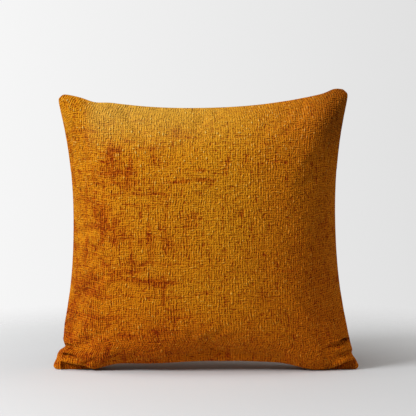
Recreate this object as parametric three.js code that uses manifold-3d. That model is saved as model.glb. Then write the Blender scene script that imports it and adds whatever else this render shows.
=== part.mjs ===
// A square knife-edge throw pillow: a zipped chenille cover over a fibre-filled insert.
// Millimetres, +Z up. It stands on its zip edge, its width lies along X and its front faces -Y.
// The seam that joins the front to the back lies in the plane Y = 0.
import * as THREE from 'three';
import { mergeVertices } from 'three/addons/utils/BufferGeometryUtils.js';
import Module from 'manifold-3d';

const wasm = await Module();
wasm.setup();

// ---------------------------------------------------------------- driving dimensions

const FRONT = -1;
const BACK = 1;
const CLEARANCE = 0.3;          // between pieces that touch

// The cover's outline: the seam's four corners, and how far the filling draws each side in.
const FOOT_HALF_WIDTH = 255;    // centre to a bottom corner
const EAR_HEIGHT = 12;          // of the bottom corners above the floor
const TOP_LEFT = { x: -244, z: 464 };
const TOP_RIGHT = { x: 237, z: 474 };
const SIDE_PULL = 30;           // halfway up each side
const TOP_PULL = 33;            // halfway along the top
const PULL_POWER = 2.2;         // 2 is a parabola, and more is flatter in the middle
const EAR_ROUNDING = 8;         // how far each corner's tip is cut back
const EAR_SHARPNESS = 30;       // how close to the tip that happens

// The cover's swell.
const HALF_DEPTH = 85;          // seam plane to the crown's inner face
const FULLNESS = 0.42;          // power of the swell: 0.5 is an ellipse, and less is fuller
const COVER_WALL = 1.6;         // chenille cloth
const COVER_CELLS = 22;         // facets across a panel

// The bottom edge: the seam stays up, and the cloth beside it bulges down to the floor.
const SEAM_HEIGHT = 18;         // of the zip seam above the floor
const SEAM_STRAIGHTNESS = 24;   // power: how straight the zip seam stays towards the ears
const FOOT_DIP = 28;            // of the bulge, near the ends of the bottom edge
const MIDDLE_DIP = 6;           // of the bulge, in the middle of the bottom edge
const FOOT_FROM = 0.25;         // share of the half width where the feet begin
const FOOT_FULL = 0.5;          // and where they stand flat
const DIP_START = 3;            // height over which the bulge begins
const DIP_FADE = [8, 90];       // heights over which it fades into the panel
const DIP_ENDS = [0.93, 0.99];  // share of the half width over which it fades into the ears
const NOMINAL_HEIGHT = 450;     // of the panel above the zip seam

// The zip in the bottom seam.
const ZIP_HALF_SLOT = 3.75;     // half the slot that the panels leave for it
const ZIP_SLOT_ENDS = [0.83, 0.93];   // share of the half width over which the slot closes
const ZIP_SLOT_POWER = 8;       // how soon the slot's width fades up the panel
const TAPE = { halfLength: 204, inner: 1.0, outer: 13, bottom: 20.5, top: 21.1 };
const COIL = { halfLength: 198, inner: 0.45, outer: 2.1, bottom: 18.4, top: 20.2 };
const ZIP_STITCH = { halfLength: 200, y: 7, z: 21.8, radius: 0.35 };
const SLIDER_X = 186;           // the slider's middle with the zip shut
const SLIDER = {
  length: 11, halfWidth: 3.3, plate: 1.0, flange: 0.8, neckHalf: 0.3, neckLength: 2.5, neckInset: 1.0,
};
const BRIDGE = {
  halfLength: 3.0, hole: 1.8, halfWidth: 0.9, drop: 2.9, strand: 0.8, roof: 0.5, corner: 0.6,
};
const PULL = {
  bar: 0.5, armInner: 1.2, armOuter: 2.2, window: 3.4, shoulder: [3.9, 5.4], halfWidth: 2.6, reach: 12.8,
};
const STOP = { near: 195, length: 2.5, wall: 0.65 };

// Seams inside the cover, as shares of the outline's size.
const STITCH_LINE = 0.9908;
const OVERLOCK = { from: 0.986, to: 0.954, halfThickness: 1.0 };
const SEAM_REACH = 0.8;         // the side and top seams' rows stop this far towards the ears
const BOTTOM_SEAM = [0.84, 0.93];
const STITCH_RADIUS = 0.4;
const SEAM_STEPS = { side: 16, zipEnd: 3, insertBottom: 8 };

// The insert.
const INSERT_SCALE = 0.93;
const INSERT_HALF_DEPTH = 81.5;
const INSERT_WALL = 0.8;
const INSERT_FULLNESS = 0.4;
const INSERT_CELLS = 14;
const INSERT_STITCH_LINE = 0.942;
const INSERT_SEAM_REACH = 0.85;
const CLOSING_STITCH_HALF = 0.28;   // half the filling slot, as a share of the half width
const CLOSING_STITCH_GAP = 3;       // from its ends to the stitches beside it
const FILLING_SCALE = 0.915;
const FILLING_HALF_DEPTH = 80.4;

// Labels, both blank.
const CARE_LABEL = { x: -135, length: 50, width: 26, thickness: 0.5, z: 26 };
const INSERT_LABEL = { x: 60, width: 40, height: 9, thickness: 0.5, y: 2, gap: 0.9 };

// ---------------------------------------------------------------- materials

const paint = (color, roughness, metalness = 0) =>
  new THREE.MeshStandardMaterial({ color, roughness, metalness });

const chenille = paint(0xb4741c, 0.9);
const thread = paint(0xa9701f, 0.8);
const zipTape = paint(0xa5701f, 0.85);
const zipCoil = paint(0xa8742a, 0.45);
const zipMetal = paint(0x9c8f78, 0.35, 1);
const ticking = paint(0xeeeae2, 0.85);
const whiteThread = paint(0xe8e4dc, 0.8);
const fibre = paint(0xf6f5f1, 0.95);
const satin = paint(0xf0ede6, 0.5);

// ---------------------------------------------------------------- small helpers

const mix = THREE.MathUtils.lerp;
const smoothstep = THREE.MathUtils.smoothstep;

function geometryOf(positions, indices) {
  const geometry = new THREE.BufferGeometry();
  geometry.setAttribute('position', new THREE.Float32BufferAttribute(positions, 3));
  geometry.setIndex(indices);
  geometry.computeVertexNormals();
  return geometry;
}

// A tube along a curve, capped at both ends.
function cord(curve, radius, steps, sides = 6) {
  const section = new THREE.Shape();
  for (let i = 0; i < sides; i++) {
    const angle = (2 * Math.PI * i) / sides;
    const move = i ? 'lineTo' : 'moveTo';
    section[move](radius * Math.cos(angle), radius * Math.sin(angle));
  }
  return new THREE.ExtrudeGeometry(section, { extrudePath: curve, steps, bevelEnabled: false });
}

// A strip with a four-cornered section, from sections that run round its corners.
function strip(sectionAt, steps) {
  const positions = [];
  const indices = [];
  const corners = 4;
  for (let i = 0; i <= steps; i++) {
    for (const point of sectionAt(i / steps)) positions.push(...point.toArray());
  }
  for (let i = 0; i < steps; i++) {
    for (let k = 0; k < corners; k++) {
      const a = i * corners + k;
      const b = i * corners + (k + 1) % corners;
      indices.push(a, b, b + corners, a, b + corners, a + corners);
    }
  }
  const last = steps * corners;
  indices.push(0, 2, 1, 0, 3, 2);
  indices.push(last, last + 1, last + 2, last, last + 2, last + 3);
  return geometryOf(positions, indices);
}

// A box given by its lowest and highest corners.
function block(low, high) {
  const size = high.map((value, axis) => value - low[axis]);
  const centre = high.map((value, axis) => (value + low[axis]) / 2);
  return new THREE.BoxGeometry(...size).translate(...centre);
}

function toSolid(geometry) {
  const bare = geometry.clone();
  bare.deleteAttribute('normal');
  bare.deleteAttribute('uv');
  const closed = mergeVertices(bare);
  const vertProperties = new Float32Array(closed.attributes.position.array);
  const triVerts = new Uint32Array(closed.index.array);
  return new wasm.Manifold(new wasm.Mesh({ numProp: 3, vertProperties, triVerts }));
}

function joined(geometries) {
  const solid = geometries.map(toSolid).reduce((sum, next) => sum.add(next));
  const mesh = solid.getMesh();
  return geometryOf([...mesh.vertProperties], [...mesh.triVerts]);
}

const root = new THREE.Group();

function add(parent, name, geometry, material) {
  const mesh = new THREE.Mesh(geometry, material);
  mesh.name = name;
  parent.add(mesh);
}

// ---------------------------------------------------------------- the pillow's form

// A point of the outline's plane: u and v run from -1 to 1, left to right and bottom to top.
function planePoint(u, v) {
  const across = (u + 1) / 2;
  const up = (v + 1) / 2;
  const bottomX = mix(-FOOT_HALF_WIDTH, FOOT_HALF_WIDTH, across);
  const topX = mix(TOP_LEFT.x, TOP_RIGHT.x, across);
  const topZ = mix(TOP_LEFT.z, TOP_RIGHT.z, across);
  const bottomZ = mix(SEAM_HEIGHT, EAR_HEIGHT, Math.abs(u) ** SEAM_STRAIGHTNESS);
  const sidePull = SIDE_PULL * (1 - Math.abs(v) ** PULL_POWER);
  const topPull = TOP_PULL * (1 - Math.abs(u) ** PULL_POWER);
  const rounding = EAR_ROUNDING * Math.abs(u * v) ** EAR_SHARPNESS;
  const x = mix(bottomX, topX, up) - u * sidePull - Math.sign(u) * rounding;
  const z = mix(bottomZ, topZ - topPull, up) - Math.sign(v) * rounding;
  return { x, z };
}

// How far the cloth beside the bottom seam bulges down.
function bulge(u, v) {
  const height = ((v + 1) / 2) * NOMINAL_HEIGHT;
  const dip = mix(MIDDLE_DIP, FOOT_DIP, smoothstep(Math.abs(u), FOOT_FROM, FOOT_FULL));
  const begins = smoothstep(height, 0, DIP_START);
  const fades = 1 - smoothstep(height, ...DIP_FADE);
  const ends = 1 - smoothstep(Math.abs(u), ...DIP_ENDS);
  return dip * begins * fades * ends;
}

// Half the space between the panels' edges, which is wider along the zip.
function halfSlot(u, v) {
  const along = 1 - smoothstep(Math.abs(u), ...ZIP_SLOT_ENDS);
  const fade = ((1 - v) / 2) ** ZIP_SLOT_POWER;
  return CLEARANCE / 2 + (ZIP_HALF_SLOT - CLEARANCE / 2) * along * fade;
}

const coverForm = {
  scale: 1, halfDepth: HALF_DEPTH, fullness: FULLNESS, wall: COVER_WALL, cells: COVER_CELLS,
  slot: halfSlot, bulge, floor: 0,
};
const insertForm = {
  scale: INSERT_SCALE, halfDepth: INSERT_HALF_DEPTH, fullness: INSERT_FULLNESS, wall: INSERT_WALL,
  cells: INSERT_CELLS, slot: () => CLEARANCE / 2, bulge: () => 0, floor: -Infinity,
};
const fillingForm = {
  ...insertForm, scale: FILLING_SCALE, halfDepth: FILLING_HALF_DEPTH, slot: () => 0,
};

// The inner face of a form's panel on one side.
function innerPoint(form, side, u, v) {
  const { x, z } = planePoint(u * form.scale, v * form.scale);
  const swell = form.halfDepth * Math.max(0, (1 - u * u) * (1 - v * v)) ** form.fullness;
  const height = Math.max(z - form.bulge(u, v), form.floor + form.wall);
  return new THREE.Vector3(x, side * (form.slot(u, v) + swell), height);
}

// The outer face: the inner one, moved out by the wall along its normal.
const NORMAL_STEP = 1e-3;       // share of the half width over which a normal is measured
const MERGE_DISTANCE = 1e-4;

function outerPoint(form, side, u, v) {
  const at = (p, q) => innerPoint(form, side, p, q);
  const [u0, u1] = [Math.max(-1, u - NORMAL_STEP), Math.min(1, u + NORMAL_STEP)];
  const [v0, v1] = [Math.max(-1, v - NORMAL_STEP), Math.min(1, v + NORMAL_STEP)];
  const alongU = at(u1, v).sub(at(u0, v));
  const alongV = at(u, v1).sub(at(u, v0));
  const normal = alongV.cross(alongU).multiplyScalar(side).normalize();
  const onEdge = normal.lengthSq() < 0.5;   // a corner of the panel has no normal of its own
  if (onEdge) normal.set(0, side, 0);
  const point = at(u, v).addScaledVector(normal, form.wall);
  point.y = side * Math.max(side * point.y, form.slot(u, v));
  point.z = Math.max(point.z, form.floor);
  return point;
}

// Grid lines crowd towards the seam, where the cloth turns fastest.
const gridLine = (i, cells) => Math.sin((Math.PI / 2) * ((2 * i) / cells - 1));

// Two grids of the same size, joined round their rims into one closed body.
function closedBetween(cells, outer, inner, side) {
  const positions = [];
  const indices = [];
  const row = cells + 1;
  for (const face of [outer, inner]) {
    for (let j = 0; j < row; j++) {
      for (let i = 0; i < row; i++) {
        positions.push(...face(gridLine(i, cells), gridLine(j, cells)).toArray());
      }
    }
  }
  const quad = (a, b, c, d) => {
    if (side === FRONT) indices.push(a, b, c, a, c, d);
    else indices.push(a, c, b, a, d, c);
  };
  const at = (face, i, j) => face * row * row + j * row + i;
  for (let j = 0; j < cells; j++) {
    for (let i = 0; i < cells; i++) {
      quad(at(0, i, j), at(0, i + 1, j), at(0, i + 1, j + 1), at(0, i, j + 1));
      quad(at(1, i, j), at(1, i, j + 1), at(1, i + 1, j + 1), at(1, i + 1, j));
    }
  }
  for (let i = 0; i < cells; i++) {
    quad(at(1, i, 0), at(1, i + 1, 0), at(0, i + 1, 0), at(0, i, 0));
    quad(at(0, i, cells), at(0, i + 1, cells), at(1, i + 1, cells), at(1, i, cells));
    quad(at(1, 0, i + 1), at(1, 0, i), at(0, 0, i), at(0, 0, i + 1));
    quad(at(1, cells, i), at(1, cells, i + 1), at(0, cells, i + 1), at(0, cells, i));
  }
  return geometryOf(positions, indices);
}

function panel(form, side) {
  const outer = (u, v) => outerPoint(form, side, u, v);
  const inner = (u, v) => innerPoint(form, side, u, v);
  return closedBetween(form.cells, outer, inner, side);
}

// A solid whose front and back meet in one rim.
function lens(form) {
  const front = (u, v) => innerPoint(form, FRONT, u, v);
  const back = (u, v) => innerPoint(form, BACK, u, v);
  const geometry = closedBetween(form.cells, front, back, FRONT);
  geometry.deleteAttribute('normal');
  return withoutSlivers(mergeVertices(geometry, MERGE_DISTANCE));
}

// Drops the rim's triangles, which have no area once its vertices are merged.
function withoutSlivers(geometry) {
  const { array } = geometry.index;
  const kept = [];
  for (let i = 0; i < array.length; i += 3) {
    const [a, b, c] = array.slice(i, i + 3);
    if (a !== b && b !== c && c !== a) kept.push(a, b, c);
  }
  geometry.setIndex(kept);
  geometry.computeVertexNormals();
  return geometry;
}

// ---------------------------------------------------------------- cover and insert

add(root, 'cover_front_panel', panel(coverForm, FRONT), chenille);
add(root, 'cover_back_panel', panel(coverForm, BACK), chenille);
add(root, 'insert_front_panel', panel(insertForm, FRONT), ticking);
add(root, 'insert_back_panel', panel(insertForm, BACK), ticking);
add(root, 'insert_filling', lens(fillingForm), fibre);

// ---------------------------------------------------------------- seams

// Each seam runs along one side, anticlockwise as seen from the front: place(t, share) is the
// point at t along it, at that share of the outline's size.
const sideSteps = SEAM_STEPS.side;
const bottomPoint = (t, share) => planePoint(t, -share);
const seams = {
  left: { from: SEAM_REACH, to: -SEAM_REACH, steps: sideSteps, place: (t, share) => planePoint(-share, t) },
  right: { from: -SEAM_REACH, to: SEAM_REACH, steps: sideSteps, place: (t, share) => planePoint(share, t) },
  top: { from: SEAM_REACH, to: -SEAM_REACH, steps: sideSteps, place: (t, share) => planePoint(t, share) },
  bottom_left: { from: -BOTTOM_SEAM[1], to: -BOTTOM_SEAM[0], steps: SEAM_STEPS.zipEnd, place: bottomPoint },
  bottom_right: { from: BOTTOM_SEAM[0], to: BOTTOM_SEAM[1], steps: SEAM_STEPS.zipEnd, place: bottomPoint },
};

function seamStitch({ from, to, steps, place }, share) {
  const points = [];
  for (let i = 0; i <= steps; i++) {
    const { x, z } = place(mix(from, to, i / steps), share);
    points.push(new THREE.Vector3(x, 0, z));
  }
  return cord(new THREE.CatmullRomCurve3(points), STITCH_RADIUS, steps);
}

function seamOverlock({ from, to, steps, place }) {
  const half = OVERLOCK.halfThickness;
  return strip((share) => {
    const t = mix(from, to, share);
    const edge = place(t, OVERLOCK.from);
    const heel = place(t, OVERLOCK.to);
    return [
      new THREE.Vector3(edge.x, -half, edge.z),
      new THREE.Vector3(edge.x, half, edge.z),
      new THREE.Vector3(heel.x, half, heel.z),
      new THREE.Vector3(heel.x, -half, heel.z),
    ];
  }, steps);
}

for (const [name, seam] of Object.entries(seams)) {
  add(root, `seam_stitch_${name}`, seamStitch(seam, STITCH_LINE), thread);
  add(root, `seam_overlock_${name}`, seamOverlock(seam), thread);
}

// The insert is sewn the same way round, apart from the slot that it was filled through.
const bottomSteps = SEAM_STEPS.insertBottom;
const insertSeams = {
  ...seams,
  bottom_left: { from: -INSERT_SEAM_REACH, to: -CLOSING_STITCH_HALF, steps: bottomSteps, place: bottomPoint },
  bottom_right: { from: CLOSING_STITCH_HALF, to: INSERT_SEAM_REACH, steps: bottomSteps, place: bottomPoint },
};

for (const [name, seam] of Object.entries(insertSeams)) {
  add(root, `insert_stitch_${name}`, seamStitch(seam, INSERT_STITCH_LINE), whiteThread);
}

const closingZ = planePoint(0, -INSERT_STITCH_LINE).z;
const closingX = planePoint(CLOSING_STITCH_HALF, -INSERT_STITCH_LINE).x - CLOSING_STITCH_GAP;
const closingLine = new THREE.LineCurve3(
  new THREE.Vector3(-closingX, 0, closingZ), new THREE.Vector3(closingX, 0, closingZ));
add(root, 'insert_closing_stitch', cord(closingLine, STITCH_RADIUS, 1, 8), whiteThread);

// ---------------------------------------------------------------- zip

for (const [name, side] of [['front', FRONT], ['back', BACK]]) {
  const across = (low, high) => (side === FRONT ? [-high, -low] : [low, high]);
  const [tapeLow, tapeHigh] = across(TAPE.inner, TAPE.outer);
  const [coilLow, coilHigh] = across(COIL.inner, COIL.outer);
  const tapeLength = TAPE.halfLength;
  const coilLength = COIL.halfLength;
  add(root, `zip_tape_${name}`,
    block([-tapeLength, tapeLow, TAPE.bottom], [tapeLength, tapeHigh, TAPE.top]), zipTape);
  add(root, `zip_coil_${name}`,
    block([-coilLength, coilLow, COIL.bottom], [coilLength, coilHigh, COIL.top]), zipCoil);
  const stitchLine = new THREE.LineCurve3(
    new THREE.Vector3(-ZIP_STITCH.halfLength, side * ZIP_STITCH.y, ZIP_STITCH.z),
    new THREE.Vector3(ZIP_STITCH.halfLength, side * ZIP_STITCH.y, ZIP_STITCH.z));
  add(root, `zip_stitch_${name}`, cord(stitchLine, ZIP_STITCH.radius, 1, 8), thread);
}

// A metal clip under the coils: a floor and upright walls at the given places across.
function clip(fromX, toX, floorY, walls) {
  const bottom = COIL.bottom - CLEARANCE - STOP.wall;
  const floorTop = COIL.bottom - CLEARANCE;
  const parts = [block([fromX, floorY[0], bottom], [toX, floorY[1], floorTop])];
  for (const [low, high] of walls) parts.push(block([fromX, low, bottom], [toX, high, COIL.top]));
  return joined(parts);
}

const wallInner = COIL.outer + CLEARANCE;
const wallOuter = wallInner + STOP.wall;
const stopEnd = STOP.near + STOP.length;
add(root, 'zip_bottom_stop', clip(-stopEnd, -STOP.near, [-wallOuter, wallOuter],
  [[-wallOuter, -wallInner], [wallInner, wallOuter]]), zipMetal);
add(root, 'zip_top_stop_front',
  clip(STOP.near, stopEnd, [-wallOuter, -COIL.inner], [[-wallOuter, -wallInner]]), zipMetal);
add(root, 'zip_top_stop_back',
  clip(STOP.near, stopEnd, [COIL.inner, wallOuter], [[wallInner, wallOuter]]), zipMetal);

// The slider: a plate outside the coils and one inside the tapes, joined by a neck between them.
const plateTop = COIL.bottom - CLEARANCE;
const plateBottom = plateTop - SLIDER.plate;
const innerPlateBottom = TAPE.top + CLEARANCE;

function slider() {
  const half = SLIDER.length / 2;
  const wide = SLIDER.halfWidth;
  const flange = wide - SLIDER.flange;
  const neckEnd = half - SLIDER.neckInset;
  const parts = [
    block([-half, -wide, plateBottom], [half, wide, plateTop]),
    block([-half, -wide, plateBottom], [half, -flange, COIL.top]),
    block([-half, flange, plateBottom], [half, wide, COIL.top]),
    block([-half, -wide, innerPlateBottom], [half, wide, innerPlateBottom + SLIDER.plate]),
    block([neckEnd - SLIDER.neckLength, -SLIDER.neckHalf, plateBottom],
      [neckEnd, SLIDER.neckHalf, innerPlateBottom + SLIDER.plate]),
    bridge(),
  ];
  return joined(parts);
}

// The bridge that the pull hangs from: a loop below the outer plate.
function bridge() {
  const { halfLength, hole, halfWidth, drop, strand, roof, corner } = BRIDGE;
  const low = plateBottom - drop;
  const outline = new THREE.Shape();
  outline.moveTo(-halfLength, plateBottom + SLIDER.plate / 2);
  outline.lineTo(-halfLength, low + corner);
  outline.quadraticCurveTo(-halfLength, low, -halfLength + corner, low);
  outline.lineTo(halfLength - corner, low);
  outline.quadraticCurveTo(halfLength, low, halfLength, low + corner);
  outline.lineTo(halfLength, plateBottom + SLIDER.plate / 2);
  outline.closePath();
  const opening = new THREE.Path();
  opening.moveTo(-hole, low + strand);
  opening.lineTo(hole, low + strand);
  opening.lineTo(hole, plateBottom - roof);
  opening.lineTo(-hole, plateBottom - roof);
  outline.holes.push(opening);
  const loop = new THREE.ExtrudeGeometry(outline,
    { depth: 2 * halfWidth, bevelEnabled: false, curveSegments: 4 });
  return loop.translate(0, 0, -halfWidth).rotateX(Math.PI / 2);
}

const sliderGroup = new THREE.Group();
sliderGroup.position.x = SLIDER_X;
root.add(sliderGroup);
add(sliderGroup, 'zip_slider', slider(), zipMetal);

// The pull: a flat tab whose top bar turns in the bridge. Its outline is drawn across Y and Z
// from the bar's axis, and it hangs straight down.
function pullTab() {
  const { bar, armInner, armOuter, window, shoulder, halfWidth, reach } = PULL;
  const outline = new THREE.Shape();
  outline.moveTo(-armOuter, bar);
  outline.lineTo(-armOuter, -shoulder[0]);
  outline.lineTo(-halfWidth, -shoulder[1]);
  outline.lineTo(-halfWidth, -reach + halfWidth);
  outline.absarc(0, -reach + halfWidth, halfWidth, Math.PI, 2 * Math.PI, false);
  outline.lineTo(halfWidth, -shoulder[1]);
  outline.lineTo(armOuter, -shoulder[0]);
  outline.lineTo(armOuter, bar);
  outline.closePath();
  const opening = new THREE.Path();
  opening.moveTo(-armInner, -window);
  opening.lineTo(armInner, -window);
  opening.lineTo(armInner, -bar);
  opening.lineTo(-armInner, -bar);
  outline.holes.push(opening);
  const tab = new THREE.ExtrudeGeometry(outline, { depth: 2 * bar, bevelEnabled: false, curveSegments: 8 });
  return tab.translate(0, 0, -bar).rotateX(Math.PI / 2).rotateZ(Math.PI / 2);
}

const pullGroup = new THREE.Group();
const bridgeHoleLow = plateBottom - BRIDGE.drop + BRIDGE.strand;
const bridgeHoleHigh = plateBottom - BRIDGE.roof;
pullGroup.position.z = (bridgeHoleLow + bridgeHoleHigh) / 2;
sliderGroup.add(pullGroup);
add(pullGroup, 'zip_pull_tab', pullTab(), zipMetal);

// ---------------------------------------------------------------- labels

const care = CARE_LABEL;
add(root, 'care_label', block(
  [care.x - care.length / 2, -care.width / 2, care.z],
  [care.x + care.length / 2, care.width / 2, care.z + care.thickness]), satin);

const note = INSERT_LABEL;
const noteShare = (note.x + note.width / 2) / TOP_RIGHT.x;   // where the seam below it is highest
const noteBottom = planePoint(noteShare, INSERT_SCALE).z + INSERT_WALL + note.gap;
add(root, 'insert_label', block(
  [note.x - note.width / 2, note.y, noteBottom],
  [note.x + note.width / 2, note.y + note.thickness, noteBottom + note.height]), satin);

export default root;
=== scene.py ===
"""A chenille throw pillow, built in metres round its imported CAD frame.

X is the width, the front faces -Y, and Z is up. A point of a panel has two cloth coordinates, u from
-1 (left) to 1 (right) and v from -1 (bottom) to 1 (top).
"""
import math

import bpy
import numpy as np
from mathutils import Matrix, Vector
from mathutils.bvhtree import BVHTree


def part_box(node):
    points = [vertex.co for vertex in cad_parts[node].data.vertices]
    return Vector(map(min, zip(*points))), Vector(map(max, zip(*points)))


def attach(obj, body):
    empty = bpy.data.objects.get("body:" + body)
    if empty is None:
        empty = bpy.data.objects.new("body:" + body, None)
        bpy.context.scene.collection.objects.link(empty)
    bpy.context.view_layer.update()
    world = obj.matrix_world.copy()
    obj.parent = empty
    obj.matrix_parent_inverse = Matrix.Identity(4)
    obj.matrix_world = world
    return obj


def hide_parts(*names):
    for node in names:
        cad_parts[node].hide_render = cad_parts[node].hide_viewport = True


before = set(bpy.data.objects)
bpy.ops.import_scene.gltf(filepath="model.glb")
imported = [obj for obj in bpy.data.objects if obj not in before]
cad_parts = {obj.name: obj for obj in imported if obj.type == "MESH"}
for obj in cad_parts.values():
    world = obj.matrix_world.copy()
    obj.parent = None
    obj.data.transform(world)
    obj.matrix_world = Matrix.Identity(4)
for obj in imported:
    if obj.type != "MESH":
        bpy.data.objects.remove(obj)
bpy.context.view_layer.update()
MM = 0.001

# ------------------------------------------------------------------ sizes, from the frame

panel_low, panel_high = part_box("cover_front_panel")
tape_low, tape_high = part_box("zip_tape_front")
FOOT_HALF_WIDTH = (panel_high.x - panel_low.x) / 2 + 6 * MM   # where the seam's sides would meet
TOP_RIGHT_Z = panel_high.z + 2 * MM       # the taller top corner, before its tip is rounded
TOP_LEFT_Z = TOP_RIGHT_Z - 8.5 * MM
TOP_LEFT_X = -FOOT_HALF_WIDTH + 7.5 * MM
TOP_RIGHT_X = FOOT_HALF_WIDTH - 17 * MM
ZIP_Z = tape_low.z - 2.5 * MM             # where the zip seam runs
HALF_DEPTH = -panel_low.y - 1 * MM        # seam plane to the crown

CLOTH_CELLS = 72                          # grid cells across a panel as it is simulated
FINER = 6            # and how many times finer it is woven
CLOTH_SIDE = 0.508                        # the cover is cut 508 mm square

# ------------------------------------------------------------------ number helpers


def mix(a, b, t):
    return a + (b - a) * t


def smooth(x, low, high):
    t = np.clip((x - low) / (high - low), 0, 1)
    return t * t * (3 - 2 * t)


def soft_noise(x, y, cell, seed):
    """Smooth noise from -1 to 1 whose bumps are about cell across."""
    size, start_x, start_y = 256, 97.3, 61.7
    lattice = np.random.default_rng(seed).uniform(-1, 1, (size, size))
    p, q = x / cell + start_x, y / cell + start_y
    i, j = np.floor(p).astype(int), np.floor(q).astype(int)
    s, t = p - i, q - j
    s, t = s * s * (3 - 2 * s), t * t * (3 - 2 * t)

    def at(a, b):
        return lattice[a % size, b % size]

    low = mix(at(i, j), at(i + 1, j), s)
    high = mix(at(i, j + 1), at(i + 1, j + 1), s)
    return mix(low, high, t)


# ------------------------------------------------------------------ the pillow's form

FRONT, BACK = -1, 1
SIDE_PULL = 33 * MM       # how far the filling draws in the middle of each side,
TOP_PULL = 32 * MM        # and the middle of the top
PULL_POWER = 2.2          # how squarely the drawn-in edges turn out to the corners
TIP_ROUNDING = 12 * MM    # at the top corners
FOOT_ROUNDING = 7 * MM    # at the bottom corners
TIP_SHARPNESS = 30        # the higher, the closer to its tip a corner is rounded
EAR_DROP = -4 * MM        # the bottom corners' level, before their tips are rounded
EDGE_REACH = 0.12         # how far in from the seam its small bends reach, in cloth coordinates
FULLNESS = 0.46
PANEL_HEIGHT = 450 * MM
ARCH_TOP_HANG = 4.5 * MM  # how far the cloth hangs below the zip at the top of the arch,
ARCH_SIDE_HANG = 9 * MM   # down its sides
FOOT_HANG = 20.5 * MM     # and at the two feet
FORM_CLEARANCE = 0.8 * MM   # of the smooth form from the floor


def hump(x, middle, width):
    return np.exp(-((x - middle) / width) ** 2)


def plane_point(u, v):
    """The seam plane's point for a cloth coordinate."""
    across, up = (u + 1) / 2, (v + 1) / 2
    bottom_x = mix(-FOOT_HALF_WIDTH, FOOT_HALF_WIDTH, across)
    top_x = mix(TOP_LEFT_X, TOP_RIGHT_X, across)
    top_z = mix(TOP_LEFT_Z, TOP_RIGHT_Z, across)
    bottom_z = mix(ZIP_Z, EAR_DROP, smooth(np.abs(u), 0.62, 0.88))
    side_pull = SIDE_PULL * (1 - np.abs(v) ** PULL_POWER)
    top_pull = TOP_PULL * (1 - np.abs(u) ** PULL_POWER)
    rounding = mix(FOOT_ROUNDING, TIP_ROUNDING, up) * np.abs(u * v) ** TIP_SHARPNESS
    x = mix(bottom_x, top_x, up) - u * side_pull - np.sign(u) * rounding
    z = mix(bottom_z, top_z - top_pull, up) - np.sign(v) * rounding

    above_ear = smooth(z, 26 * MM, 38 * MM) * (1 - smooth(z, 46 * MM, 82 * MM))
    notch = hump(z, mix(40 * MM, 26 * MM, across), 5 * MM) * mix(6.5 * MM, 3.5 * MM, across)
    flare = mix(3 * MM, 3.5 * MM, across) * (1 - smooth(z, 4 * MM, 20 * MM))
    tuck = mix(3.5 * MM, 0.8 * MM, across) * above_ear + notch - flare
    x = x - np.sign(u) * np.exp((np.abs(u) - 1) / EDGE_REACH) * tuck
    dimple = 3.6 * MM * hump(x, -184 * MM, 17 * MM)
    hook = 3.2 * MM * hump(x, 212 * MM, 12 * MM)
    z = z + np.exp((v - 1) / EDGE_REACH) * (hook - dimple)
    return x, z


def bulge(u, v):
    """How far the cloth beside the bottom seam hangs below it."""
    height = (v + 1) / 2 * PANEL_HEIGHT
    foot = smooth(np.abs(u + 0.03), 0.5, 0.76)
    arch = mix(ARCH_TOP_HANG, ARCH_SIDE_HANG, smooth(np.abs(u - 0.12), 0.1, 0.5))
    ear = 1 - smooth(np.abs(u), 0.62, 0.86)
    fades = 1 - smooth(height, 8 * MM, 90 * MM)
    return mix(arch, FOOT_HANG, foot) * smooth(height, 0, 4 * MM) * fades * ear


# Creases, as routes of (x, z) from the seam inwards and then depth and width, in millimetres.
CREASES = (
    (((-236, 42), (-228, 43), (-221, 41), (-212, 35)), 11, 3.0),
    (((-234, 28), (-222, 26), (-208, 19)), 6, 3.4),
    (((242, 53), (228, 51), (219, 47.5), (208, 46), (192, 40)), 11, 3.2),
    (((248, 34), (228, 30), (202, 21)), 5, 3.6),
    (((-203, 458), (-198, 444)), 4, 2.6),
)
DEEPEST = max(deep for _, deep, _ in CREASES)
# Where the cloth folds under to the flat ears: a route of (x, z), below which the cloth lies flat.
EAR_FOLDS = (
    ((-240, 15), (-222, 11), (-198, 6), (-184, 1)),
    ((250, 18), (232, 14), (214, 5), (204, 1)),
)
EAR_THICKNESS = 6 * MM
FOLD_LIP = 2 * MM


def route_distance(x, z, route):
    """Signed distance to a route of straight legs, below it negative, and the share along it."""
    best, share, side = np.full_like(x, 1e3), np.zeros_like(x), np.ones_like(x)
    legs = len(route) - 1
    for k in range(legs):
        (x0, z0), (x1, z1) = np.array(route[k]) * MM, np.array(route[k + 1]) * MM
        dx, dz = x1 - x0, z1 - z0
        along = np.clip(((x - x0) * dx + (z - z0) * dz) / (dx * dx + dz * dz), 0, 1)
        across = np.hypot(x - x0 - along * dx, z - z0 - along * dz)
        nearer = across < best
        share = np.where(nearer, (k + along) / legs, share)
        above = (dx * (z - z0) - dz * (x - x0)) * np.sign(dx)
        side = np.where(nearer, np.sign(above), side)
        best = np.minimum(best, across)
    return best * side, share


def crease_depth(x, z):
    """How deep the creases pull the cloth in, and how much painted shade their bottoms get, from 0 to 1."""
    depth, dark = np.zeros_like(x), np.zeros_like(x)
    for route, deep, width in CREASES:
        distance, share = route_distance(x, z, route)
        reach = np.where(distance > 0, distance / 0.6, -distance / 1.4) / (width * MM)
        fade = 1 - smooth(share, 0.5, 1.0)
        depth += deep * MM * (np.exp(-reach ** 2) - 0.3 * hump(reach, 2.2, 1.0)) * fade
        # Painted shade along the bottom of each crease.
        shade = np.exp(-(distance / (0.75 * width * MM)) ** 2)
        dark = np.maximum(dark, deep / DEEPEST * shade * fade)
    return depth, dark


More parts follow.
